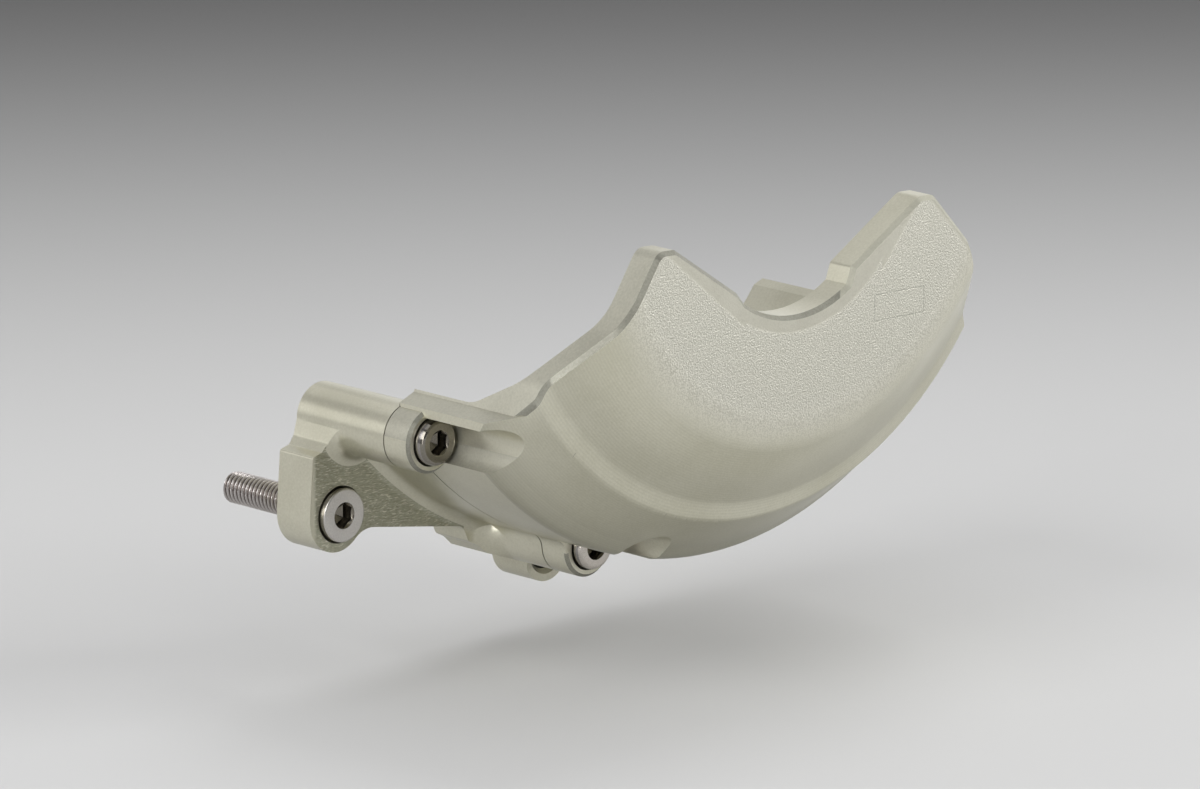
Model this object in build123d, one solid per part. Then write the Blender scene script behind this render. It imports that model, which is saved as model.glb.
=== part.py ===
from build123d import *
import math
import os

# Generator cover protector: a milled shell that wraps the cover, bolted to a bracket
# that carries the mounting eyes. Millimetres. X runs along the engine, +Z is up and
# -Y points away from the engine. The origin is the axis of the main mounting eye, in
# the face that seats on the engine. A depth is measured outwards from that face.

# bracket
plateThick = 8.8
seamDepth = 22.9          # the joint between bracket and shell
bracketWall = 10.2
floorFillet = 3.0         # where the wall and the upper tube rise from the plate
lowerFillet = 5.0         # where the lower tube rises from it
lowerHollow = 3.5         # in the corner between the lower tube and the wall
bossRadius = 6.0          # tubes that take the joining bolts
eyeRadius = 6.75
eyeHollow = 5.5           # where the eye's round runs into the plate's lower edge
secondEyeRadius = 5.6
secondEyeHole = 3.3
secondEyeBevel = 0.9
secondEyeGap = 0.4        # between the wall and the rim of the second eye's hole

# shell, then the steps of its dome from the crease on: inwards and outwards
wallRadius = 77.7         # outside of the round wall
wallLength = 18.6         # from the joint to the crease
shellWall = 7.2
seamStep = 0.25           # groove that marks the joint
shoulderIn, shoulderOut = 2.8, 3.1
ridgeIn, ridgeOut = 6.7, 9.0
grooveIn, grooveOut = 3.6, 1.4
faceIn, faceOut = 14.1, 10.8
creaseRound, shoulderRound, ridgeRound, grooveRound, faceRound = 4.0, 5.0, 2.5, 4.0, 12.0
boreStop = 3.5            # the cavity starts to close this far behind the crease
cavityIn, cavityOut = 11.7, 6.8
cavityFaceIn = 15.0
cavityRound = 8.0
faceWall = 6.0
lugThick = 6.5
channelRadius = 5.1       # spanner way in front of each joining bolt
edgeBevel = 0.8           # on the shell's upper edges
lugBevel = 0.6

# bolts: shank radius, head radius, head height, length and key width
mainShank, mainHead, mainHeadTall, mainLength, mainKey = 3.0, 5.0, 5.0, 25.0, 4.0
joinShank, joinHead, joinHeadTall, joinLength, joinKey = 2.5, 4.25, 5.0, 20.0, 4.0
headProud = 1.9           # joining bolt head above its lug
mainHeadProud = 1.2
headGap = 0.4             # round each head, in its counterbore
shankGap = 0.3
threadGap = 0.05
threadRunout = 2.0        # thread below the end of a joining bolt
keyDepth = 2.6
mainHeadBevel, joinHeadBevel = 0.2, 0.6
coreShare = 0.84          # core of a thread as a share of its outside
neckShare = 0.89          # plain neck under the head, up to where the thread starts

# places, X and Z; the wall runs through the upper boss, and an angle is taken from +X
upperBoss = (3.6, 16.8)
wallAngle = 38.5           # from the upper boss to the axis of the wall
upperBossInset, lowerBossInset = 0.77, 0.26
lowerBossAngle = 254.7
secondEyeAngle = 262.0
notchCentre, notchRadius = (61.2, 61.8), 25.0
leftJogAngle, rightJogAngle = 236.0, 300.5  # ends of the notch's round
shellOutline = (           # X, Z and corner radius, from the upper lug to the end cut
    (1.7, 23.2, 0),
    (5.3, 24.6, 0),
    (7.3, 30.4, 6.0),
    (15.9, 40.4, 10.0),
    (25.3, 54.2, 3.0),
    (29.5, 53.9, 1.5),
    (45.4, 43.3, 1.5),
)
rightOutline = (           # on the other side of the notch
    (75.1, 43.4, 1.2),
    (92.7, 53.6, 3.0),
    (96.5, 53.4, 2.0),
    (105.8, 43.4, 4.0),
)
endCutFoot = (126.9, 9.4)  # foot of the straight cut at the far end
plateOutline = (           # the bracket's plate, from the upper boss round the eye
    (-3.2, 14.0, 1.5),
    (-4.3, 12.4, 0.6),
    (-6.6, 11.8, 0.6),
    (-7.45, 0.8, 3.0),
)
eyeCentre = (-0.7, -0.2)   # the eye's round, a little off its bolt
eyeFoot = (5.5, -3.4)      # where the plate's lower edge starts
lowerEdge = (              # offsets from the lower boss and corner radius
    (-12.5, 2.1, 2.5),
    (-11.0, -1.1, 1.2),
    (-9.0, -2.1, 1.2),
    (-7.1, -3.9, 0),
)
secondEyeWeb = (15.5, 3.6)  # offset from the second eye
lugSlopeAngle = 108.0      # where the shell's top edge leaves the upper lug
bossSlopeAngle = 70.5      # where the wall's upper end leaves the boss
wallStart = (24.5, 15.8)   # the upper end of the bracket's wall slopes down to here
wallEnd = ((108.9, 19.5), (118.5, 23.0))
far = 60.0                 # reach of cutting outlines past the part
sideShare = 0.48           # of a side, at most, for the round at each of its ends

creaseDepth = seamDepth + wallLength
faceDepth = creaseDepth + shoulderOut + ridgeOut + grooveOut + faceOut


def along(x, z, depth=0.0):
    return Plane(origin=(x, -depth, z), x_dir=(1, 0, 0), z_dir=(0, -1, 0))


def rod(centre, radius, start, end):
    return extrude(along(*centre, start) * Circle(radius), end - start)


def slab(outline, start, end):
    return extrude(along(0, 0, start) * outline, end - start)


def onCircle(centre, radius, degrees):
    turn = math.radians(degrees)
    return (centre[0] + radius * math.cos(turn), centre[1] + radius * math.sin(turn))


def moved(place, offset):
    return (place[0] + offset[0], place[1] + offset[1])


wallAxis = onCircle(upperBoss, wallRadius - upperBossInset, wallAngle)
lowerBoss = onCircle(wallAxis, wallRadius - lowerBossInset, lowerBossAngle)
secondEye = onCircle(wallAxis, wallRadius + secondEyeGap + secondEyeBevel + secondEyeHole,
                     secondEyeAngle)


def rounded(corners):
    """A closed outline; each corner's round is kept within its two sides."""
    points = [corner[:2] for corner in corners]
    radii = []
    for here, (x, z, wanted) in enumerate(corners):
        before = Vector(*points[here - 1]) - Vector(x, z)
        after = Vector(*points[(here + 1) % len(points)]) - Vector(x, z)
        spread = math.radians(before.get_angle(after))
        room = sideShare * min(before.length, after.length) * math.tan(spread / 2)
        radii.append(min(wanted, room))
    return make_face(FilletPolyline(points, radius=radii, close=True))


def spun(centre, face):
    """A face drawn as radius and minus depth, turned about an upright of the seating face."""
    profile = Plane(origin=(centre[0], 0, centre[1]), x_dir=(1, 0, 0), z_dir=(0, 0, 1))
    return revolve(profile * face, Axis((centre[0], 0, centre[1]), (0, 1, 0)))


def turned(corners):
    return spun(wallAxis, rounded([(radius, -depth, corner) for radius, depth, corner in corners]))


def frontEdges(body):
    """Edges where the outline's walls meet the outer surface."""
    walls = [f for f in body.faces() if abs(f.normal_at().Y) < 0.01]
    fronts = [f for f in body.faces() if f.normal_at().Y < -0.05]
    shared = ShapeList()
    for wall in walls:
        for edge in wall.edges():
            if any(edge.is_same(other) for front in fronts for other in front.edges()):
                shared.append(edge)
    return shared


def domeSection():
    """Radius, depth and round of the corners, from the crease to the face."""
    steps = ((0.0, 0.0, creaseRound), (shoulderIn, shoulderOut, shoulderRound),
             (ridgeIn, ridgeOut, ridgeRound), (grooveIn, grooveOut, grooveRound),
             (faceIn, faceOut, faceRound))
    radius, depth, corners = wallRadius, creaseDepth, []
    for inwards, outwards, corner in steps:
        radius, depth = radius - inwards, depth + outwards
        corners.append((radius, depth, corner))
    return corners


def makeDome():
    outside = turned((
        (0.0, seamDepth, 0), (wallRadius - seamStep, seamDepth, 0),
        (wallRadius - seamStep, seamDepth + seamStep, 0),
        (wallRadius, seamDepth + seamStep, 0), *domeSection(), (0.0, faceDepth, 0)))
    bore, shoulder = wallRadius - shellWall, wallRadius - cavityIn
    floor = faceDepth - faceWall
    cavity = turned((
        (0.0, seamDepth, 0), (bore, seamDepth, 0), (bore, creaseDepth - boreStop, cavityRound),
        (shoulder, creaseDepth + cavityOut, cavityRound),
        (shoulder - cavityFaceIn, floor, cavityRound), (0.0, floor, 0)))
    leftJog = onCircle(notchCentre, notchRadius, leftJogAngle)
    rightJog = onCircle(notchCentre, notchRadius, rightJogAngle)
    low = lowerBoss[1] - far
    keep = rounded((
        (shellOutline[0][0], upperBoss[1], 0), *shellOutline, (*leftJog, 0), (*rightJog, 0),
        *rightOutline, (*endCutFoot, 0), (endCutFoot[0], low, 0), (-far, low, 0),
        (-far, upperBoss[1], 0)))
    belowJogs = make_face(Polyline(leftJog, rightJog, (rightJog[0], low), (leftJog[0], low),
                                   close=True))
    keep -= (Pos(*notchCentre) * Circle(notchRadius)) & belowJogs
    dome = (outside - cavity) & slab(keep, seamDepth, faceDepth)
    return chamfer([e for e in frontEdges(dome) if onUpperOutline(e)], edgeBevel)


def onUpperOutline(edge):
    middle = edge @ 0.5
    return middle.Z > shellOutline[1][1] or middle.X > rightOutline[-1][0]


def lugFront():
    return seamDepth + lugThick


def headSeat():
    return lugFront() + headProud - joinHeadTall


def mainHeadSeat():
    return plateThick + mainHeadProud - mainHeadTall


def makeChannel(centre):
    """The way in for a spanner, open to the outside of the wall."""
    outward = Vector(centre[0] - wallAxis[0], centre[1] - wallAxis[1]).normalized()
    turn = math.degrees(math.atan2(outward.Y, outward.X))
    mouth = Pos(*centre) * Rot(0, 0, turn) * Pos(channelRadius, 0) * Rectangle(
        2 * channelRadius, 2 * channelRadius)
    return slab(mouth + Pos(*centre) * Circle(channelRadius), lugFront(), faceDepth)


def lowerCorner():
    """Fills the corner left of the lower tube, with a hollow that touches tube and wall."""
    boss, axis = Vector(*lowerBoss), Vector(*wallAxis)
    down = (boss - axis).normalized()
    toWall, toBoss = wallRadius + lowerHollow, bossRadius + lowerHollow
    reach = (boss - axis).length
    drop = (toWall ** 2 - toBoss ** 2 + reach ** 2) / (2 * reach)
    middle = axis + down * drop + Vector(down.Y, -down.X) * math.sqrt(toWall ** 2 - drop ** 2)
    onWall = middle + (axis - middle).normalized() * lowerHollow
    onBoss = middle + (boss - middle).normalized() * lowerHollow
    return make_face(Polyline(boss, onWall, middle, onBoss, close=True)) - Pos(middle) * Circle(
        lowerHollow)


def makeLug(centre):
    body = rod(centre, bossRadius, seamDepth + seamStep, lugFront())
    body = chamfer(body.edges().group_by(Axis.Y)[0], lugBevel)
    return body + rod(centre, bossRadius - seamStep, seamDepth, seamDepth + seamStep)


def upperBevelTop():
    """The wedge between the upper lug's round and the shell's sloped top edge."""
    start, end = shellOutline[0][:2], shellOutline[1][:2]
    return make_face(Polyline(onCircle(upperBoss, bossRadius, lugSlopeAngle), end,
                              (end[0] + bossRadius, upperBoss[1]), upperBoss, close=True))


def makeCoverShell():
    shell = makeDome()
    for centre in (upperBoss, lowerBoss):
        shell -= makeChannel(centre)
    shell += makeLug(upperBoss) + makeLug(lowerBoss)
    shell += slab(upperBevelTop(), seamDepth, lugFront())
    shell += slab(lowerCorner(), seamDepth + seamStep, lugFront())
    shell -= rod(wallAxis, wallRadius - shellWall, seamDepth, lugFront())
    for centre in (upperBoss, lowerBoss):
        shell -= rod(centre, joinHead + headGap, headSeat(), lugFront())
        shell -= rod(centre, joinShank + shankGap, seamDepth, headSeat())
    return shell


def touch(centre, radius, point, side):
    """Where a line from a point touches a circle; side is 1 or -1."""
    reach = math.dist(centre, point)
    aim = math.degrees(math.atan2(point[1] - centre[1], point[0] - centre[0]))
    return onCircle(centre, radius, aim + side * math.degrees(math.acos(radius / reach)))


def hollowCorner(centre, radius, start, end, hollow):
    """Fills the corner between a round and the straight edge that leaves it."""
    centre, start = Vector(*centre), Vector(*start)
    edge = (Vector(*end) - start).normalized()
    out = Vector(edge.Y, -edge.X) * hollow
    away = start + out - centre
    run = math.sqrt(away.dot(edge) ** 2 - away.length ** 2 + (radius + hollow) ** 2)
    middle = start + out + edge * (run - away.dot(edge))
    onRound = centre + (middle - centre).normalized() * radius
    corner = make_face(Polyline(centre, onRound, middle, middle - out, close=True))
    return corner - Pos(middle) * Circle(hollow)


def bossSlopeStart():
    return onCircle(upperBoss, bossRadius, bossSlopeAngle)


def plateFace():
    lowerCorners = [(*moved(lowerBoss, corner), corner[2]) for corner in lowerEdge]
    web = moved(secondEye, secondEyeWeb)
    outline = rounded((
        (*upperBoss, 0), (*onCircle(upperBoss, bossRadius, 180.0), 0), *plateOutline,
        (eyeCentre[0] - eyeRadius, eyeCentre[1], 0), (*eyeCentre, 0), (*eyeFoot, 0),
        *lowerCorners, (*touch(lowerBoss, bossRadius, lowerCorners[-1][:2], 1), 0),
        (*lowerBoss, 0), (*wallStart, 0), (*bossSlopeStart(), 0)))
    outline += make_face(Polyline(secondEye, touch(secondEye, secondEyeRadius, web, -1),
                                  web, wallAxis, lowerBoss, close=True))
    outline += hollowCorner(eyeCentre, eyeRadius, eyeFoot, lowerCorners[0][:2], eyeHollow)
    for centre, radius in ((upperBoss, bossRadius), (lowerBoss, bossRadius),
                           (eyeCentre, eyeRadius), (secondEye, secondEyeRadius)):
        outline += Pos(*centre) * Circle(radius)
    return outline


def makeWall():
    low = lowerBoss[1] - far
    keep = make_face(Polyline((-far, upperBoss[1]), upperBoss, bossSlopeStart(), wallStart,
                              *wallEnd, endCutFoot, (endCutFoot[0], low), (-far, low),
                              close=True))
    return rod(wallAxis, wallRadius, 0.0, seamDepth) & slab(keep, 0.0, seamDepth)


def makeCove(centre, radius, fillet):
    """The hollow corner between the plate's front and a round standing on it."""
    foot, top = -plateThick, -plateThick - fillet
    inside = radius - fillet / 2
    hollow = CenterArc((radius + fillet, top), fillet, 90, 90)
    rest = Polyline((radius, top), (inside, top), (inside, foot), (radius + fillet, foot))
    return spun(centre, make_face([*hollow.edges(), *rest.edges()]))


def makeMountBracket():
    coves = makeCove(wallAxis, wallRadius, floorFillet)
    coves += makeCove(upperBoss, bossRadius, floorFillet)
    coves += makeCove(lowerBoss, bossRadius, lowerFillet)
    coves &= slab(plateFace(), plateThick, plateThick + lowerFillet)
    coves -= rod(secondEye, secondEyeHole + secondEyeBevel, plateThick, plateThick + lowerFillet)
    body = slab(plateFace(), 0.0, plateThick) + makeWall() + coves
    for centre in (upperBoss, lowerBoss):
        body += rod(centre, bossRadius, 0.0, seamDepth)
    body += slab(lowerCorner(), 0.0, seamDepth)
    body -= rod(wallAxis, wallRadius - bracketWall, 0.0, seamDepth)
    threadEnd = headSeat() - joinLength - threadRunout
    for centre in (upperBoss, lowerBoss):
        body -= rod(centre, joinShank + threadGap, threadEnd, seamDepth)
    body -= rod((0, 0), mainShank + shankGap, 0.0, plateThick)
    body -= rod((0, 0), mainHead + headGap, mainHeadSeat(), plateThick)
    body -= rod(secondEye, secondEyeHole, 0.0, plateThick)
    sink = Cone(secondEyeHole, secondEyeHole + secondEyeBevel, secondEyeBevel,
                align=(Align.CENTER, Align.CENTER, Align.MAX))
    return body - along(*secondEye, plateThick) * sink


def makeBolt(centre, seat, threadStart, shank, head, headTall, headBevel, length, key):
    bolt = rod((0, 0), head, 0.0, headTall)
    bolt = chamfer(bolt.edges().group_by(Axis.Y)[0], headBevel)
    bolt += rod((0, 0), shank * neckShare, threadStart - seat, 0.0)
    bolt += rod((0, 0), shank, -length, threadStart - seat)
    bolt = chamfer(bolt.edges().group_by(Axis.Y)[-1], shank - shank * coreShare)
    socket = RegularPolygon(key / 2, 6, major_radius=False, rotation=30)
    bolt -= slab(socket, headTall - keyDepth, headTall)
    return Pos(centre[0], -seat, centre[1]) * bolt


def makeParts():
    joining = (headSeat(), seamDepth, joinShank, joinHead, joinHeadTall, joinHeadBevel,
               joinLength, joinKey)
    return {
        "cover_shell": makeCoverShell(),
        "mount_bracket": makeMountBracket(),
        "mounting_bolt": makeBolt((0, 0), mainHeadSeat(), 0.0, mainShank, mainHead,
                                  mainHeadTall, mainHeadBevel, mainLength, mainKey),
        "upper_joining_bolt": makeBolt(upperBoss, *joining),
        "lower_joining_bolt": makeBolt(lowerBoss, *joining),
    }


if __name__ == "__main__":
    os.makedirs("parts", exist_ok=True)
    for name, piece in makeParts().items():
        export_step(piece, f"parts/{name}.step")
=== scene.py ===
import bpy
import math
import numpy as np
from mathutils import Matrix


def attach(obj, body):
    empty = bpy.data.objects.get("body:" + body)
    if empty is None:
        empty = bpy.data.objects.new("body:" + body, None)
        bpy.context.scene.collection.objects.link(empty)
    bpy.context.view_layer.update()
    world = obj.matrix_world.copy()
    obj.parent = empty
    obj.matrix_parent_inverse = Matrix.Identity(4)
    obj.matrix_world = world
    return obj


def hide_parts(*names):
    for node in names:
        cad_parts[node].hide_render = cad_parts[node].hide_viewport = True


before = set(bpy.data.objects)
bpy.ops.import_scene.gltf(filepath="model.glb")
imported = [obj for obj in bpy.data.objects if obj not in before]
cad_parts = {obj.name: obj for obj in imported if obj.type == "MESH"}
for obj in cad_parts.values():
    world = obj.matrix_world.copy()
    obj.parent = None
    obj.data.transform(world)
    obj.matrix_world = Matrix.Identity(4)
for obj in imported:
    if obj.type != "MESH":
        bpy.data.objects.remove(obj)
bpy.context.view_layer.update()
mm = 0.001
wallAxis = (63.8 * mm, 64.7 * mm)  # X and Z of the turned surfaces' axis
print("frame loaded")


# Meshes

def makeObject(name, points, faces, sharpAngle):
    # edges that bend by more than the sharp angle, in degrees, stay crisp
    mesh = bpy.data.meshes.new(name)
    mesh.from_pydata(points.tolist(), [], [face.tolist() for face in faces])
    mesh.polygons.foreach_set("use_smooth", np.ones(len(mesh.polygons), bool))
    mesh.set_sharp_from_angle(angle=math.radians(sharpAngle))
    piece = bpy.data.objects.new(name, mesh)
    bpy.context.scene.collection.objects.link(piece)
    return piece


def keepFlatsFlat(piece):
    # large flats keep their own normals beside small rounds
    weighted = piece.modifiers.new("flatFaces", "WEIGHTED_NORMAL")
    weighted.keep_sharp = True
    weighted.weight = 60


def weldedCopy(nodeName, name, sharpAngle):
    # the node's loose triangles with equal corners joined, so that curves shade smoothly
    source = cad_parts[nodeName].data
    corners = np.zeros(len(source.vertices) * 3)
    source.vertices.foreach_get("co", corners)
    triangles = np.zeros(len(source.polygons) * 3, int)
    source.polygons.foreach_get("vertices", triangles)
    rounded = np.round(corners.reshape(-1, 3), 7)
    points, joined = np.unique(rounded, axis=0, return_inverse=True)
    triangles = joined.reshape(-1)[triangles].reshape(-1, 3)
    whole = (np.diff(np.sort(triangles, axis=1), axis=1) > 0).all(axis=1)
    piece = makeObject(name, points, triangles[whole], sharpAngle)
    keepFlatsFlat(piece)
    return piece


def finishPiece(piece, nodeName, materials):
    for material in materials:
        piece.data.materials.append(material)
    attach(piece, "root")
    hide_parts(nodeName)


def faceData(piece):
    mesh = piece.data
    normals = np.zeros(len(mesh.polygons) * 3)
    centres = np.zeros(len(mesh.polygons) * 3)
    mesh.polygons.foreach_get("normal", normals)
    mesh.polygons.foreach_get("center", centres)
    return centres.reshape(-1, 3), normals.reshape(-1, 3)


# Materials

def link(tree, source, target):
    tree.links.new(source, target)


def addNode(tree, kind, **settings):
    node = tree.nodes.new(kind)
    for key, value in settings.items():
        setattr(node, key, value)
    return node


def feed(tree, value, socket):
    # a socket is linked, and anything else is set as a plain value
    if isinstance(value, bpy.types.NodeSocket):
        link(tree, value, socket)
    else:
        socket.default_value = value


def mathNode(tree, operation, first, second=None, clamped=False):
    node = addNode(tree, "ShaderNodeMath", operation=operation, use_clamp=clamped)
    feed(tree, first, node.inputs[0])
    if second is not None:
        feed(tree, second, node.inputs[1])
    return node.outputs[0]


def vectorNode(tree, operation, first, second, third=None):
    node = addNode(tree, "ShaderNodeVectorMath", operation=operation)
    feed(tree, first, node.inputs[0])
    feed(tree, second, node.inputs[1])
    if third is not None:
        feed(tree, third, node.inputs[2])
    return node.outputs["Value"] if operation in ("DOT_PRODUCT", "LENGTH") else node.outputs[0]


def noiseNode(tree, place, scale, detail, distortion=0.0):
    noise = addNode(tree, "ShaderNodeTexNoise")
    noise.inputs["Scale"].default_value = scale
    noise.inputs["Detail"].default_value = detail
    noise.inputs["Distortion"].default_value = distortion
    link(tree, place, noise.inputs["Vector"])
    return noise.outputs["Fac"]


def smoothStep(tree, value, low, high):
    step = addNode(tree, "ShaderNodeMapRange", interpolation_type="SMOOTHSTEP")
    step.inputs["From Min"].default_value = low
    step.inputs["From Max"].default_value = high
    link(tree, value, step.inputs["Value"])
    return step.outputs["Result"]


def blend(tree, share, first, second):
    mix = addNode(tree, "ShaderNodeMix", data_type="RGBA")
    feed(tree, share, mix.inputs["Factor"])
    feed(tree, first, mix.inputs[6])
    feed(tree, second, mix.inputs[7])
    return mix.outputs[2]


def blendValue(tree, share, first, second):
    mix = addNode(tree, "ShaderNodeMix", data_type="FLOAT")
    feed(tree, share, mix.inputs["Factor"])
    feed(tree, first, mix.inputs[2])
    feed(tree, second, mix.inputs[3])
    return mix.outputs[0]


def newGroup(name, inputs, outputs):
    # an empty node group with its named sockets, what it is given and what it puts out
    group = bpy.data.node_groups.new(name, "ShaderNodeTree")
    kinds = {"Place": "NodeSocketVector", "Dark": "NodeSocketColor", "Light": "NodeSocketColor",
             "Color": "NodeSocketColor", "Aim": "NodeSocketVector"}
    for direction, names in (("INPUT", inputs), ("OUTPUT", outputs)):
        for socketName in names:
            group.interface.new_socket(socketName, in_out=direction,
                                       socket_type=kinds.get(socketName, "NodeSocketFloat"))
    given = addNode(group, "NodeGroupInput").outputs
    return group, given, addNode(group, "NodeGroupOutput").inputs


def useGroup(tree, group, **values):
    node = addNode(tree, "ShaderNodeGroup")
    node.node_tree = group
    for socketName, value in values.items():
        feed(tree, value, node.inputs[socketName])
    return node.outputs


def flatDistance(tree, place, centre):
    # distance from a line along Y, given by its X and Z
    flat = vectorNode(tree, "MULTIPLY_ADD", place, (1, 0, 1), (-centre[0], 0, -centre[1]))
    return vectorNode(tree, "LENGTH", flat, (0, 0, 0))


def makeTurningGroup():
    # distance from the turning axis, and the ripple that a cutter leaves along it
    group, given, result = newGroup("turningLines", ("Place", "Pitch"), ("Radius", "Height"))
    radius = flatDistance(group, given["Place"], wallAxis)
    depth = vectorNode(group, "DOT_PRODUCT", given["Place"], (0, 1, 0))
    drift = noiseNode(group, given["Place"], 90, 2)
    path = mathNode(group, "DIVIDE", mathNode(group, "ADD", radius, depth), given["Pitch"])
    turns = mathNode(group, "ADD", path, mathNode(group, "MULTIPLY", drift, 0.8))
    ripple = mathNode(group, "SINE", mathNode(group, "MULTIPLY", turns, 2 * math.pi))
    link(group, radius, result["Radius"])
    link(group, mathNode(group, "MULTIPLY", ripple, drift), result["Height"])
    return group


def makeGrainGroup():
    # even speckle of an anodised skin, with slow stains over it
    group, given, result = newGroup("anodisedGrain", ("Place", "Scale", "Dark", "Light"),
                                    ("Color", "Height"))
    fine = addNode(group, "ShaderNodeTexNoise")
    fine.inputs["Detail"].default_value = 2
    link(group, given["Place"], fine.inputs["Vector"])
    link(group, given["Scale"], fine.inputs["Scale"])
    stain = noiseNode(group, given["Place"], 60, 3)
    share = mathNode(group, "ADD", mathNode(group, "MULTIPLY", fine.outputs["Fac"], 0.4),
                     mathNode(group, "MULTIPLY", stain, 0.6))
    link(group, blend(group, smoothStep(group, share, 0.3, 0.7), given["Dark"], given["Light"]),
         result["Color"])
    link(group, fine.outputs["Fac"], result["Height"])
    return group


def makeHalfPlaneGroup():
    # one on the side of a straight border that the aim points to, with a soft edge
    group, given, result = newGroup("pastBorder", ("Place", "Aim", "Offset"), ("Mask",))
    past = mathNode(group, "SUBTRACT",
                    vectorNode(group, "DOT_PRODUCT", given["Place"], given["Aim"]),
                    given["Offset"])
    link(group, smoothStep(group, past, 0.0, borderFade), result["Mask"])
    return group


def makeUndersideGroup():
    # painted shade: undersides are darkened, and the more a face looks down, the larger the mask
    group, given, result = newGroup("paintedUndersideShade", ("Color",), ("Color",))
    normal = addNode(group, "ShaderNodeNewGeometry").outputs["Normal"]
    drop = smoothStep(group, vectorNode(group, "DOT_PRODUCT", normal, (0, 0, -1)), 0.4, 0.9)
    shade = addNode(group, "ShaderNodeMix", data_type="RGBA", blend_type="MULTIPLY")
    link(group, drop, shade.inputs["Factor"])
    link(group, given["Color"], shade.inputs[6])
    shade.inputs[7].default_value = (0.74, 0.735, 0.70, 1)
    link(group, shade.outputs[2], result["Color"])
    return group


borderFade = 0.7 * mm
turningLines = makeTurningGroup()
anodisedGrain = makeGrainGroup()
pastBorder = makeHalfPlaneGroup()
paintedUndersideShade = makeUndersideGroup()


def newMaterial(name, roughness, metallic):
    material = bpy.data.materials.new(name)
    material.use_nodes = True
    tree = material.node_tree
    shader = tree.nodes["Principled BSDF"]
    shader.inputs["Roughness"].default_value = roughness
    shader.inputs["Metallic"].default_value = metallic
    place = addNode(tree, "ShaderNodeTexCoord").outputs["Object"]
    return material, tree, shader, place


def addBump(tree, shader, height, strength, distance):
    bump = addNode(tree, "ShaderNodeBump")
    bump.inputs["Strength"].default_value = strength
    bump.inputs["Distance"].default_value = distance
    link(tree, height, bump.inputs["Height"])
    link(tree, bump.outputs["Normal"], shader.inputs["Normal"])


anodised = {
    "dark": (0.59, 0.57, 0.455, 1), "light": (0.70, 0.68, 0.56, 1),
    "grain": 2200.0, "metallic": 0.75, "roughness": 0.29,
}
blasted = {
    "dark": (0.49, 0.48, 0.41, 1), "light": (0.64, 0.625, 0.55, 1),
    "paintedLitRimDark": (0.66, 0.645, 0.54, 1), "paintedLitRimLight": (0.80, 0.78, 0.67, 1),
    "paintedLitRimFrom": (45.0 * mm, 51.0 * mm),    # painted light: the paler rim comes in between these radii
    "roughness": 0.4, "grain": 3100.0, "pits": 4.0,
    "edge": (48.5 * mm, 55.0 * mm),       # the blasting fades out between these radii
    "notch": (61.2 * mm, 61.8 * mm),      # middle of the smooth band round the notch
    "notchEdge": 27.7 * mm,               # and its outer radius
    # smooth corners of the horns: each border's direction and offset, and the X it is kept to
    "leftBorder": ((0.639, 0, 0.769), 57.9 * mm), "leftEnd": 47.0 * mm,
    "rightBorder": ((-0.76, 0, 0.648), -36.2 * mm), "rightStart": 82.5 * mm,
    "tipBorder": ((0.732, 0, 0.681), 105.2 * mm),
}
turned = {   # the pairs are radii between which a tone comes in
    "dark": (0.69, 0.67, 0.53, 1), "light": (0.81, 0.79, 0.655, 1),
    "innerDark": (0.54, 0.525, 0.44, 1), "innerLight": (0.63, 0.615, 0.525, 1),
    "innerTo": (46 * mm, 50 * mm),        # the plain inner skin gives way to turning lines
    "shade": (0.34, 0.33, 0.265, 1),      # tone of the turning lines, and of the painted shade in the rings
    "linePitch": 0.8 * mm, "lineShare": 0.09, "ripple": 0.4, "speckle": 1.2,
    "rim": (71.5 * mm, 77.5 * mm), "rimShadeShare": 0.36,
    "crest": (63.5 * mm, 67.0 * mm), "crestShadeShare": 0.12,
    "hollowIn": (55.5 * mm, 62.5 * mm), "hollowOut": (66.8 * mm, 64.2 * mm),
    "hollowShadeShare": 0.22,                  # painted shade in the hollow beside the ridge, darker then lighter
}
plaque = {   # bare frame on the face, leaning slightly
    "centre": (87.1 * mm, 34.5 * mm), "half": (6.5 * mm, 2.45 * mm), "lean": 0.03,
    "line": 0.16 * mm, "tone": (0.2, 0.2, 0.17, 1), "share": 0.5, "depth": 0.8,
}


def makeSatin(name, dark, light, roughness):
    material, tree, shader, place = newMaterial(name, roughness, anodised["metallic"])
    grain = useGroup(tree, anodisedGrain, Place=place, Scale=anodised["grain"],
                     Dark=dark, Light=light)
    # painted shade on the undersides
    link(tree, useGroup(tree, paintedUndersideShade, Color=grain["Color"])["Color"],
         shader.inputs["Base Color"])
    addBump(tree, shader, grain["Height"], 0.2, 0.03 * mm)
    return material


def makePlaqueLine(tree, place):
    # thin line round a rectangle: where the larger of the two offsets past its half sides
    # is close to zero
    across = mathNode(tree, "ABSOLUTE", mathNode(
        tree, "SUBTRACT", vectorNode(tree, "DOT_PRODUCT", place, (1, 0, 0)),
        plaque["centre"][0]))
    above = mathNode(tree, "ABSOLUTE", mathNode(
        tree, "SUBTRACT", vectorNode(tree, "DOT_PRODUCT", place, (plaque["lean"], 0, 1)),
        plaque["centre"][1] + plaque["lean"] * plaque["centre"][0]))
    outside = mathNode(tree, "MAXIMUM", mathNode(tree, "SUBTRACT", across, plaque["half"][0]),
                       mathNode(tree, "SUBTRACT", above, plaque["half"][1]))
    near = mathNode(tree, "DIVIDE", mathNode(tree, "ABSOLUTE", outside), plaque["line"])
    return mathNode(tree, "SUBTRACT", 1.0, near, clamped=True)


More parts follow.
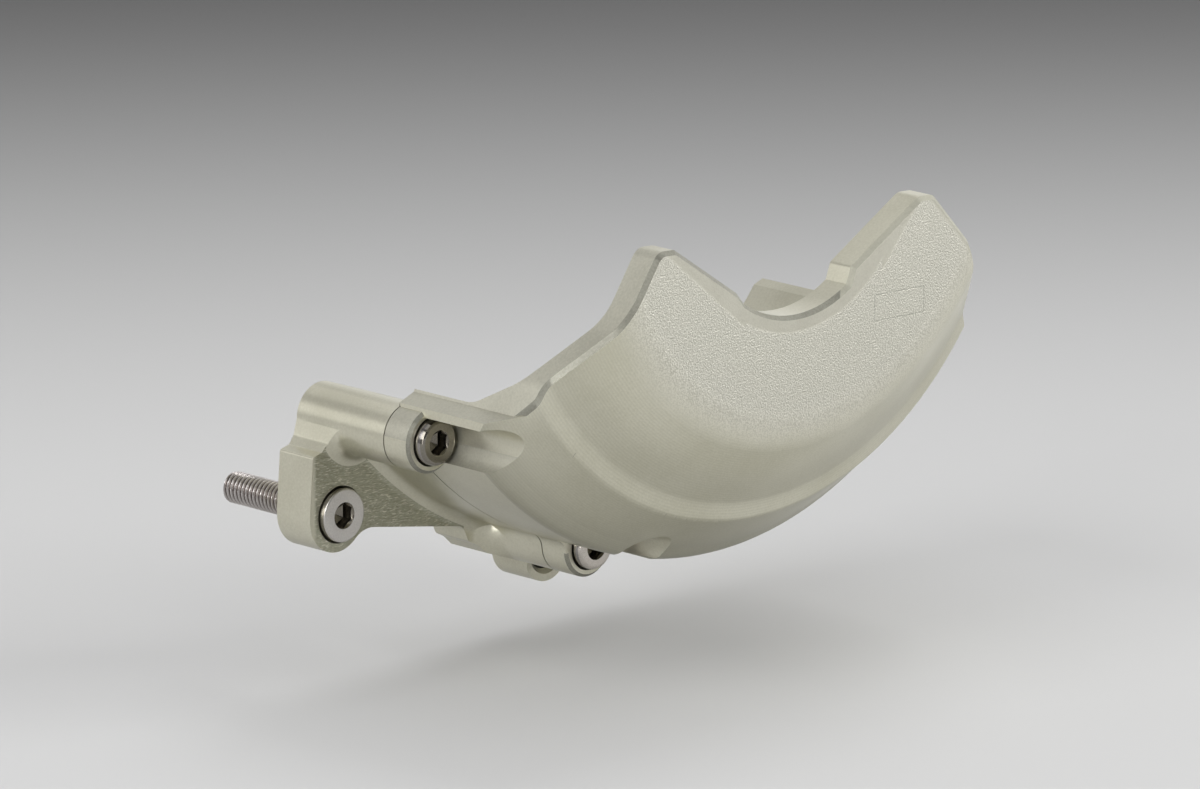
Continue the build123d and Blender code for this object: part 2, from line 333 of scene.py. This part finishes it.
def makeBlastedMask(tree, place, radius):
    # blasted face: inside a radius, less smooth bands along the notch and the horns
    inside = smoothStep(tree, radius, blasted["edge"][1], blasted["edge"][0])
    middle = flatDistance(tree, place, blasted["notch"])
    offNotch = smoothStep(tree, middle, blasted["notchEdge"], blasted["notchEdge"] + borderFade)
    position = vectorNode(tree, "DOT_PRODUCT", place, (1, 0, 0))
    left = mathNode(tree, "MULTIPLY", mathNode(tree, "LESS_THAN", position, blasted["leftEnd"]),
                    useGroup(tree, pastBorder, Place=place, Aim=blasted["leftBorder"][0],
                             Offset=blasted["leftBorder"][1])["Mask"])
    right = mathNode(
        tree, "MULTIPLY", mathNode(tree, "GREATER_THAN", position, blasted["rightStart"]),
        useGroup(tree, pastBorder, Place=place, Aim=blasted["rightBorder"][0],
                 Offset=blasted["rightBorder"][1])["Mask"])
    tip = useGroup(tree, pastBorder, Place=place, Aim=blasted["tipBorder"][0],
                   Offset=blasted["tipBorder"][1])["Mask"]
    smooth = mathNode(tree, "MAXIMUM", mathNode(tree, "MAXIMUM", left, right), tip)
    kept = mathNode(tree, "MULTIPLY", inside, offNotch)
    return mathNode(tree, "MULTIPLY", kept, mathNode(tree, "SUBTRACT", 1.0, smooth))


def makeTurnedDome():
    # turned skin with rings of painted shade and faint lines, and the blasted face over its
    # middle
    material, tree, shader, place = newMaterial("turnedDome", 0.4, anodised["metallic"])
    lines = useGroup(tree, turningLines, Place=place, Pitch=turned["linePitch"])
    radius = lines["Radius"]
    mask = makeBlastedMask(tree, place, radius)
    line = makePlaqueLine(tree, place)
    outer = smoothStep(tree, radius, *turned["innerTo"])
    satin = useGroup(tree, anodisedGrain, Place=place, Scale=anodised["grain"],
                     Dark=blend(tree, outer, turned["innerDark"], turned["dark"]),
                     Light=blend(tree, outer, turned["innerLight"], turned["light"]))
    speckle = noiseNode(tree, place, blasted["grain"], 1)
    # painted light: the blasted face grows paler towards its rim
    litRimShare = smoothStep(tree, radius, *blasted["paintedLitRimFrom"])
    rough = blend(tree, smoothStep(tree, speckle, 0.35, 0.65),
                  blend(tree, litRimShare, blasted["dark"], blasted["paintedLitRimDark"]),
                  blend(tree, litRimShare, blasted["light"], blasted["paintedLitRimLight"]))
    groove = mathNode(tree, "MULTIPLY", smoothStep(tree, lines["Height"], -0.5, 0.5), outer)
    lined = blend(tree, mathNode(tree, "MULTIPLY", groove, turned["lineShare"]),
                  satin["Color"], turned["shade"])
    hollow = mathNode(tree, "MULTIPLY", smoothStep(tree, radius, *turned["hollowIn"]),
                      smoothStep(tree, radius, *turned["hollowOut"]))
    # painted shade: the hollow beside the ridge, the ridge's crest and the lower rim are blended
    # towards the shade tone
    rings = ((hollow, turned["hollowShadeShare"]),
             (smoothStep(tree, radius, *turned["crest"]), turned["crestShadeShare"]),
             (smoothStep(tree, radius, *turned["rim"]), turned["rimShadeShare"]))
    shadow = 0.0
    for ring, share in rings:
        shadow = mathNode(tree, "ADD", mathNode(tree, "MULTIPLY", ring, share), shadow)
    skin = blend(tree, mask, blend(tree, shadow, lined, turned["shade"]), rough)
    marked = blend(tree, mathNode(tree, "MULTIPLY", line, plaque["share"]), skin,
                   plaque["tone"])
    # painted shade on the undersides
    link(tree, useGroup(tree, paintedUndersideShade, Color=marked)["Color"],
         shader.inputs["Base Color"])
    link(tree, blendValue(tree, mask, anodised["roughness"], blasted["roughness"]),
         shader.inputs["Roughness"])
    ripples = mathNode(tree, "MULTIPLY", outer,
                       mathNode(tree, "MULTIPLY", lines["Height"], -turned["ripple"]))
    grooves = mathNode(tree, "ADD", ripples,
                       mathNode(tree, "MULTIPLY", speckle, turned["speckle"]))
    pits = mathNode(tree, "SUBTRACT", mathNode(tree, "MULTIPLY", speckle, blasted["pits"]),
                    mathNode(tree, "MULTIPLY", line, plaque["depth"]))
    addBump(tree, shader, blendValue(tree, mask, grooves, pits), 0.6, 0.03 * mm)
    return material


def makeStrokes(tree, place, angle, scale):
    # short thin strokes: noise stretched along one direction of the plate and thresholded
    along = addNode(tree, "ShaderNodeMapping")
    along.inputs["Rotation"].default_value = (0, math.radians(angle), 0)
    along.inputs["Scale"].default_value = (scale[0], 1, scale[1])
    link(tree, place, along.inputs["Vector"])
    streak = noiseNode(tree, along.outputs["Vector"], 1.0, 1, 0.5)
    return streak, smoothStep(tree, streak, 0.58, 0.7)


toolFloor = {
    "dark": (0.34, 0.335, 0.25, 1), "light": (0.45, 0.445, 0.34, 1),
    "grain": 1500.0, "roughness": 0.34,
    "rim": (-6.7 * mm, -5.7 * mm),   # X between which the smooth rim turns rough
    "stroke": (0.80, 0.78, 0.66, 1), "strokeShare": 0.65,
    "strokes": ((24, (620, 3100)), (-18, (760, 3500))),   # angle, fineness along and across
}


def makeToolFloor():
    # rough floor of the bracket's plate, with short cutter marks in two directions
    material, tree, shader, place = newMaterial(
        "roughMilledFloor", toolFloor["roughness"], anodised["metallic"])
    rough = smoothStep(tree, vectorNode(tree, "DOT_PRODUCT", place, (1, 0, 0)),
                       *toolFloor["rim"])
    grain = useGroup(tree, anodisedGrain, Place=place, Scale=toolFloor["grain"],
                     Dark=toolFloor["dark"], Light=toolFloor["light"])
    first, second = (makeStrokes(tree, place, *way) for way in toolFloor["strokes"])
    marks = mathNode(tree, "MAXIMUM", first[1], second[1])
    scored = blend(tree, mathNode(tree, "MULTIPLY", marks, toolFloor["strokeShare"]),
                   grain["Color"], toolFloor["stroke"])
    link(tree, blend(tree, rough, anodised["dark"], scored), shader.inputs["Base Color"])
    height = mathNode(tree, "MULTIPLY", mathNode(tree, "ADD", first[0], second[0]), rough)
    addBump(tree, shader, height, 0.9, 0.12 * mm)
    return material


steel = {
    "grain": 3500.0, "ringPitch": 0.25 * mm, "ringHeight": 0.2,
    # root is the painted shade in the thread's roots
    "threadGrain": 3000.0, "threadRoughness": 0.3, "root": (0.1, 0.08, 0.07, 1),
    "threadDark": (0.5, 0.465, 0.45, 1), "threadLight": (0.7, 0.665, 0.65, 1),
    "crestFrom": (0.84, 0.97),       # parts of the shank's radius where the painted shade of the root ends
}


def makeSteel(name, dark, light, roughness, centre):
    # fine rings of a turned screw head: a sine of the distance from its axis
    material, tree, shader, place = newMaterial(name, roughness, 1.0)
    grain = useGroup(tree, anodisedGrain, Place=place, Scale=steel["grain"],
                     Dark=dark, Light=light)
    link(tree, grain["Color"], shader.inputs["Base Color"])
    rings = mathNode(tree, "SINE", mathNode(
        tree, "MULTIPLY", flatDistance(tree, place, centre),
        2 * math.pi / steel["ringPitch"]))
    height = mathNode(tree, "ADD", mathNode(tree, "MULTIPLY", rings, steel["ringHeight"]),
                      grain["Height"])
    addBump(tree, shader, height, 0.2, 0.02 * mm)
    return material


def makePlainSteel(name, dark, light, roughness):
    material, tree, shader, place = newMaterial(name, roughness, 1.0)
    grain = useGroup(tree, anodisedGrain, Place=place, Scale=steel["grain"],
                     Dark=dark, Light=light)
    link(tree, grain["Color"], shader.inputs["Base Color"])
    addBump(tree, shader, grain["Height"], 0.15, 0.02 * mm)
    return material


def makeThreadSteel(name, size):
    # painted shade: dark in the thread's roots, and bright steel on its crests
    material, tree, shader, place = newMaterial(name, steel["threadRoughness"], 1.0)
    reach = flatDistance(tree, place, size["place"])
    low, high = steel["crestFrom"]
    crest = smoothStep(tree, reach, low * size["shank"], high * size["shank"])
    grain = useGroup(tree, anodisedGrain, Place=place, Scale=steel["threadGrain"],
                     Dark=steel["threadDark"], Light=steel["threadLight"])
    link(tree, blend(tree, crest, steel["root"], grain["Color"]), shader.inputs["Base Color"])
    addBump(tree, shader, grain["Height"], 0.1, 0.02 * mm)
    return material


# Shell and bracket

satins = {   # dark and light tone, roughness
    "satinCutWall": (anodised["dark"], anodised["light"], anodised["roughness"]),
    # painted shade: the bevels are given darkened tones, less so on the right
    "paintedDeepShadeBevel": ((0.24, 0.235, 0.195, 1), (0.36, 0.355, 0.30, 1), 0.4),
    "paintedLightShadeBevel": ((0.46, 0.45, 0.37, 1), (0.55, 0.54, 0.45, 1), 0.45),
    # painted shade: the upward top band is given a darker tone
    "roughShadedBand": ((0.42, 0.408, 0.34, 1), (0.54, 0.527, 0.445, 1), 0.5),
    # painted shade: bore walls and the seam's faces are given a near-black tone
    "paintedShadeBore": ((0.09, 0.085, 0.07, 1), (0.14, 0.13, 0.11, 1), 0.5),
}
satinCutWall, paintedDeepShadeBevel, paintedLightShadeBevel, roughShadedBand, paintedShadeBore = (
    makeSatin(name, *look) for name, look in satins.items())
sideOn, squareOn = 0.2, 0.95      # how far a face looks along Y: hardly, and almost fully
coverShell = {
    "sharpAngle": 30,
    "grazing": 0.03, "sideways": 0.3,   # the most that a turned face leans either way
    "lugRadius": 70.0 * mm,       # outside this a front-facing flat belongs to a lug,
    "lugDepth": 35.0 * mm,        # unless it stands further forward than this
    "lugBevel": 0.9,              # a lug's bevel looks less along Y than this
    "lightShadeBevelFrom": 72.0 * mm,   # right of this X the bevels get a lighter painted shade
    "bandEnd": 50.0 * mm,         # the rough top band, given a darker tone as painted shade, is left of this X
    "seamEnd": 23.2 * mm,         # faces behind this depth line the seam, and are painted near black as shade
}


def makeCoverShell():
    # a face is turned when its normal stays in the plane of the axis, and a bevel otherwise
    piece = weldedCopy("cover_shell", "coverShellSkin", coverShell["sharpAngle"])
    centres, normals = faceData(piece)
    depth, ahead = -centres[:, 1], -normals[:, 1]
    outX, outZ = centres[:, 0] - wallAxis[0], centres[:, 2] - wallAxis[1]
    radius = np.hypot(outX, outZ)
    outward = (normals[:, 0] * outX + normals[:, 2] * outZ) / radius
    sideways = (normals[:, 2] * outX - normals[:, 0] * outZ) / radius
    front = ahead > coverShell["grazing"]
    lug = (radius > coverShell["lugRadius"]) & (depth < coverShell["lugDepth"])
    around = (front & ~lug & (abs(sideways) < coverShell["sideways"])
              & (outward > -coverShell["grazing"]))
    lugBevel = (ahead > sideOn) & (ahead < coverShell["lugBevel"])
    bevel = front & ~around & (~lug | lugBevel)
    lighterShade = centres[:, 0] > coverShell["lightShadeBevelFrom"]
    band = ((normals[:, 2] > sideOn) & (abs(ahead) < sideOn)
            & (centres[:, 0] < coverShell["bandEnd"]))
    seam = depth < coverShell["seamEnd"]
    # painted shade: the seam's faces, the top band and the bevels take darkened tones
    choice = np.select([seam, band, around, bevel & lighterShade, bevel], [5, 4, 1, 3, 2], 0)
    finishPiece(piece, "cover_shell", [
        satinCutWall, makeTurnedDome(), paintedDeepShadeBevel, paintedLightShadeBevel, roughShadedBand, paintedShadeBore])
    piece.data.polygons.foreach_set("material_index", choice.astype(np.int32))
    return piece


mountBracket = {
    "sharpAngle": 18,
    "floorDepth": 8.8 * mm, "floorReach": 0.4 * mm,
    "roughEnd": 31.0 * mm,        # the rough floor is left of this X
    "secondEye": (52.4 * mm, -16.8 * mm), "boreReach": 3.5 * mm,
}


def makeMountBracket():
    # only the flat floor is rough, and the rounds beside it are smooth
    piece = weldedCopy("mount_bracket", "mountBracketSkin", mountBracket["sharpAngle"])
    centres, normals = faceData(piece)
    depth = -centres[:, 1]
    floor = ((normals[:, 1] < -squareOn) & (centres[:, 0] < mountBracket["roughEnd"])
             & (abs(depth - mountBracket["floorDepth"]) < mountBracket["floorReach"]))
    eye = np.hypot(*(centres[:, [0, 2]] - mountBracket["secondEye"]).T)
    # painted shade: the wall of the second eye's bore is given a near-black tone
    bore = (eye < mountBracket["boreReach"]) & (abs(normals[:, 1]) < sideOn)
    finishPiece(piece, "mount_bracket", [satinCutWall, makeToolFloor(), paintedShadeBore])
    piece.data.polygons.foreach_set("material_index", (floor + 2 * bore).astype(np.int32))
    return piece


makeCoverShell()
makeMountBracket()
print("shell and bracket dressed")


# Screws

# seat and neckEnd stand that far in front of the engine's face: the head's seat, and the end
# of the thread under it
mountingScrew = {
    "place": (0.0, 0.0), "seat": 5.0 * mm, "neckEnd": 0.0,
    "shank": 2.98 * mm, "head": 5.0 * mm, "tall": 5.0 * mm, "length": 25.0 * mm,
    "key": 4.0 * mm, "mouth": 2.5 * mm, "socketDeep": 2.6 * mm, "bevel": 0.22 * mm,
    "pitch": 1.0 * mm, "perPitch": 14, "around": 96,
    "face": ((0.50, 0.48, 0.455, 1), (0.70, 0.675, 0.64, 1), 0.33),
}
upperJoiningScrew = {
    "place": (3.6 * mm, 16.8 * mm), "seat": 26.3 * mm, "neckEnd": 22.9 * mm,
    "shank": 2.48 * mm, "head": 4.25 * mm, "tall": 5.0 * mm, "length": 20.0 * mm,
    "key": 4.0 * mm, "mouth": 2.4 * mm, "socketDeep": 2.6 * mm, "bevel": 0.6 * mm,
    "pitch": 0.8 * mm, "perPitch": 6, "around": 72,
    # painted shade: this head's face gets much darker tones than the lower joining screw's, the
    # same screw
    "face": ((0.23, 0.215, 0.185, 1), (0.31, 0.29, 0.25, 1), 0.16),
}
lowerJoiningScrew = dict(upperJoiningScrew, place=(43.37 * mm, -10.0 * mm),
                         face=((0.60, 0.56, 0.51, 1), (0.70, 0.655, 0.60, 1), 0.25))
screwForm = {   # what all the screws share
    "core": 0.80, "neck": 0.89,           # parts of the shank's radius
    "crestSlope": 1.3, "crestDrop": 0.12,   # how the thread's triangle wave is clipped
    "point": 0.001 * mm,                  # radius of the small flats that close both ends
    "edge": 0.15 * mm, "rim": 0.1 * mm,   # round under the head, and ring beside the bevel
    "softLead": 0.05 * mm, "drillDeep": 0.8 * mm,
    "sharpAngle": 30,
}
headSideSteel = makePlainSteel("headSideSteel", (0.3, 0.28, 0.27, 1), (0.42, 0.4, 0.38, 1),
                               0.16)
# painted shade: the hex socket's walls and floor are given a near-black steel tone
shadedSocketSteel = makePlainSteel("shadedSocketSteel", (0.15, 0.135, 0.11, 1), (0.27, 0.25, 0.21, 1),
                             0.25)


def screwStations(size):
    # rows of (radius, height above the seat, material number). On the thread the radius is a
    # clipped triangle wave of height less angle times pitch. In the socket it is the distance
    # to a hexagon's side, and the round mouth falls one part in one part to meet it.
    form = screwForm
    turn = np.arange(size["around"]) * 2 * np.pi / size["around"]
    core, neck = form["core"] * size["shank"], form["neck"] * size["shank"]
    start = size["neckEnd"] - size["seat"]
    steps = int(round((size["length"] + start) / size["pitch"] * size["perPitch"]))
    along = np.linspace(-size["length"], start, steps)[:, None]
    wave = np.mod(along / size["pitch"] - turn[None] / (2 * np.pi), 1.0)
    crest = np.clip(form["crestSlope"] * abs(2 * wave - 1) - form["crestDrop"], 0, 1)
    thread = core + (size["shank"] - core) * crest
    thread = np.minimum(thread, core + (along + size["length"]))
    side = np.mod(turn + np.pi / 6, np.pi / 3) - np.pi / 6
    hexagon = size["key"] / 2 / np.cos(side)
    tall, head, bevel, mouth = size["tall"], size["head"], size["bevel"], size["mouth"]
    edge, soft, point = form["edge"], form["softLead"], form["point"]
    floor = tall - size["socketDeep"]
    lead = tall - (mouth - hexagon)
    ring = np.ones(size["around"])
    return turn, [
        (point * ring, -size["length"], 3),
        *[(row, height, 3) for row, height in zip(thread, along[:, 0])],
        (neck * ring, start, 1), (neck * ring, 0.0, 1),
        ((head - edge) * ring, 0.0, 1), (head * ring, edge, 1),
        (head * ring, tall - bevel, 1), ((head - 0.3 * bevel) * ring, tall - 0.3 * bevel, 0),
        ((head - bevel) * ring, tall, 0), ((head - bevel - form["rim"]) * ring, tall, 0),
        (1.04 * mouth * ring, tall, 0), (mouth * ring, tall, 0),
        (hexagon + soft, lead + soft, 2), (hexagon, lead - soft, 2),
        (hexagon, floor, 2), (0.97 * hexagon, floor - soft, 2),
        (point * ring, floor - form["drillDeep"], 2),
    ]


def makeScrew(name, nodeName, size):
    # each row turns about the screw's own line along Y: the place plus the radius times the
    # cosine and sine of the angle, and the height taken towards the front
    turn, stations = screwStations(size)
    radius = np.array([row for row, _, _ in stations])
    height = np.array([value + np.zeros(size["around"]) for _, value, _ in stations])
    points = np.stack([size["place"][0] + radius * np.cos(turn), -(height + size["seat"]),
                       size["place"][1] + radius * np.sin(turn)], axis=-1)
    rows, columns = radius.shape
    index = np.arange(rows * columns).reshape(rows, columns)
    beside = np.roll(index, -1, axis=1)
    faces = np.stack([index[:-1], index[1:], beside[1:], beside[:-1]], axis=-1).reshape(-1, 4)
    piece = makeObject(name, points.reshape(-1, 3), [*faces, index[0], index[-1][::-1]],
                       screwForm["sharpAngle"])
    face = makeSteel(name + "Face", *size["face"], size["place"])
    thread = makeThreadSteel(name + "Thread", size)
    finishPiece(piece, nodeName, [face, headSideSteel, shadedSocketSteel, thread])
    slots = np.array([number for _, _, number in stations])[1:]
    slots = np.append(np.repeat(slots, columns), [3, 2])
    piece.data.polygons.foreach_set("material_index", slots.astype(np.int32))
    return piece


makeScrew("mountingScrew", "mounting_bolt", mountingScrew)
makeScrew("upperJoiningScrew", "upper_joining_bolt", upperJoiningScrew)
makeScrew("lowerJoiningScrew", "lower_joining_bolt", lowerJoiningScrew)
print("screws cut")


# Stage, lights and camera

stage = {
    "floorHeight": -33.0 * mm, "reach": 4.0,
    "nearTone": 0.585, "farTone": 0.11,           # painted shade: the paper darkens away from the camera,
    "fadeNear": 110 * mm, "fadeFar": 730 * mm,    # between these distances
    "bounceTone": 0.5,    # what the object itself gets back from the paper
}
view = {
    "azimuth": math.radians(44.6), "elevation": math.radians(14.0),
    "focal": 9500.0, "width": 1200.0, "height": 789.0, "sensor": 36.0,
    "pixelsPerMm": 5.5,
    "eyeFront": (0.0, -8.8 * mm, 0.0),   # the front of the main eye, and where it is seen
    "eyePixel": (340.0, 514.5),
}


def viewAxes():
    # unit vectors ahead of the camera, to its right and upwards
    azimuth, elevation = view["azimuth"], view["elevation"]
    ahead = np.array([math.sin(azimuth) * math.cos(elevation),
                      math.cos(azimuth) * math.cos(elevation), -math.sin(elevation)])
    right = np.array([math.cos(azimuth), -math.sin(azimuth), 0.0])
    return ahead, right, np.cross(right, ahead)


def makeCamera():
    # stands back from the main eye by the focal length over the scale, and is moved so that
    # the eye falls on its own pixel
    ahead, right, up = viewAxes()
    distance = view["focal"] / view["pixelsPerMm"] * mm
    across = (view["eyePixel"][0] - view["width"] / 2) / view["focal"] * distance
    above = (view["height"] / 2 - view["eyePixel"][1]) / view["focal"] * distance
    place = np.array(view["eyeFront"]) - distance * ahead - across * right - above * up
    data = bpy.data.cameras.new("photoCamera")
    data.sensor_width = view["sensor"]
    data.lens = view["focal"] / view["width"] * view["sensor"]
    data.clip_start, data.clip_end = 0.05, 20
    camera = bpy.data.objects.new("photoCamera", data)
    columns = np.stack([right, up, -ahead, place], axis=1)
    camera.matrix_world = Matrix([*columns.tolist(), [0, 0, 0, 1]])
    bpy.context.scene.collection.objects.link(camera)
    bpy.context.scene.camera = camera


def makeFloor():
    # painted shade: the paper's tone falls away behind the object
    ahead, _, _ = viewAxes()
    material, tree, shader, place = newMaterial("shadedPaper", 0.9, 0.0)
    level = ahead * (1, 1, 0)
    away = vectorNode(tree, "DOT_PRODUCT", place, (level / np.linalg.norm(level)).tolist())
    share = smoothStep(tree, away, stage["fadeNear"], stage["fadeFar"])
    tone = blendValue(tree, share, stage["nearTone"], stage["farTone"])
    seen = addNode(tree, "ShaderNodeLightPath").outputs["Is Camera Ray"]
    link(tree, blendValue(tree, seen, stage["bounceTone"], tone), shader.inputs["Base Color"])
    shader.inputs["Specular IOR Level"].default_value = 0.1
    reach, height = stage["reach"], stage["floorHeight"]
    corners = np.array([[-1, -1], [1, -1], [1, 1], [-1, 1]]) * reach
    points = np.column_stack([corners, np.full(4, height)])
    floor = makeObject("paperFloor", points, [np.arange(4)], 30)
    floor.data.materials.append(material)


lamps = {
    "top": {"place": (0.05, -0.1, 1.1), "size": 1.2, "power": 3.2},
    "backLeft": {"place": (-0.72, 0.75, 0.33), "size": 0.5, "power": 0.45},
    "backHigh": {"place": (0.1, 0.75, 0.75), "size": 0.6, "power": 0.4},
    "leftHigh": {"place": (-0.95, 0.1, 0.7), "size": 0.7, "power": 5.0},
    "leftLow": {"place": (-1.0, -0.25, 0.25), "size": 0.5, "power": 4.2},
    "frontLeft": {"place": (-0.6, -1.1, 0.7), "size": 0.7, "power": 2.6},
    "frontRight": {"place": (0.85, -1.0, 0.5), "size": 0.7, "power": 12.0},
    "rightHigh": {"place": (0.8, 0.3, 1.0), "size": 0.6, "power": 4.0},
}
room = {   # soft light of the room's walls: where each is, and its strength
    "back": ((0, 1, 0), 0.6), "right": ((1, 0, 0), 1.0), "left": ((-1, 0, 0), 0.2),
}
aim = np.array([0.06, -0.03, 0.02])


def makeLamps():
    # square lamps, each turned to look at the object
    for name, lamp in lamps.items():
        data = bpy.data.lights.new(name, "AREA")
        data.size = lamp["size"]
        data.energy = lamp["power"]
        light = bpy.data.objects.new(name, data)
        place = np.array(lamp["place"])
        back = (place - aim) / np.linalg.norm(place - aim)
        side = np.cross((0, 1, 0.001), back)
        side = side / np.linalg.norm(side)
        columns = np.stack([side, np.cross(back, side), back, place], axis=1)
        light.matrix_world = Matrix([*columns.tolist(), [0, 0, 0, 1]])
        bpy.context.scene.collection.objects.link(light)


def makeRoom():
    # each wall's light is the square of how far a direction looks at it
    world = bpy.data.worlds.new("softRoom")
    world.use_nodes = True
    tree = world.node_tree
    direction = addNode(tree, "ShaderNodeTexCoord").outputs["Generated"]
    glow = 0.0
    for side, strength in room.values():
        facing = mathNode(tree, "MAXIMUM", vectorNode(tree, "DOT_PRODUCT", direction, side), 0.0)
        share = mathNode(tree, "MULTIPLY", mathNode(tree, "POWER", facing, 2.0), strength)
        glow = mathNode(tree, "ADD", share, glow)
    link(tree, glow, tree.nodes["Background"].inputs["Color"])
    bpy.context.scene.world = world


makeCamera()
makeFloor()
makeLamps()
makeRoom()
bpy.context.scene.view_settings.view_transform = "Standard"
print("stage set")
